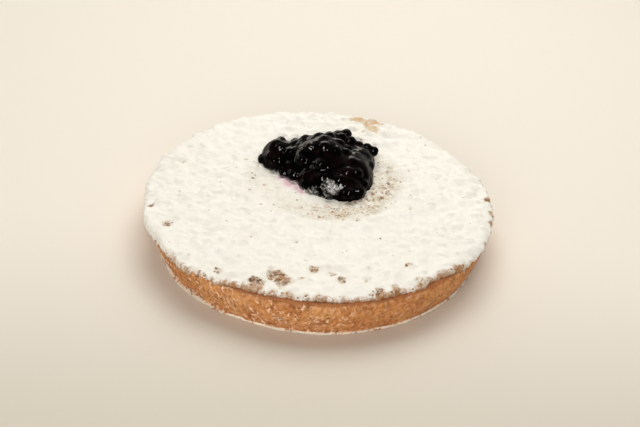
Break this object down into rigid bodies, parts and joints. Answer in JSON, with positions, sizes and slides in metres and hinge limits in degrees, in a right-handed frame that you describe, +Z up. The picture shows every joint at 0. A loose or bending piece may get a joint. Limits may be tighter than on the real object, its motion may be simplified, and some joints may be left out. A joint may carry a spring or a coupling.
{
  "type": "blueberry crumb pie",
  "caption": "Round crumb pie: a shallow slanting baked crust, a sugared crumb top and a heap of glazed blueberries behind the middle.",
  "frame": {"origin": "centre of the pie's flat underside", "axes": "+Z up through the pie, -Y towards the front, +X to the right as seen from the front"},
  "size_m": [0.244, 0.243, 0.0555],
  "materials": {
    "crust": "baked shortcrust: golden brown, matte, finely pored, with sugar on its foot",
    "crumb_topping": "brown butter crumb under a thick dusting of white icing sugar",
    "blueberry_topping": "near-black purple blueberries in a wet, glossy jelly"
  },
  "bodies": {
    "root": {"crust": "crust", "crumb_topping": "crumb_topping", "blueberry_topping": "blueberry_topping"}
  },
  "joints": []
}
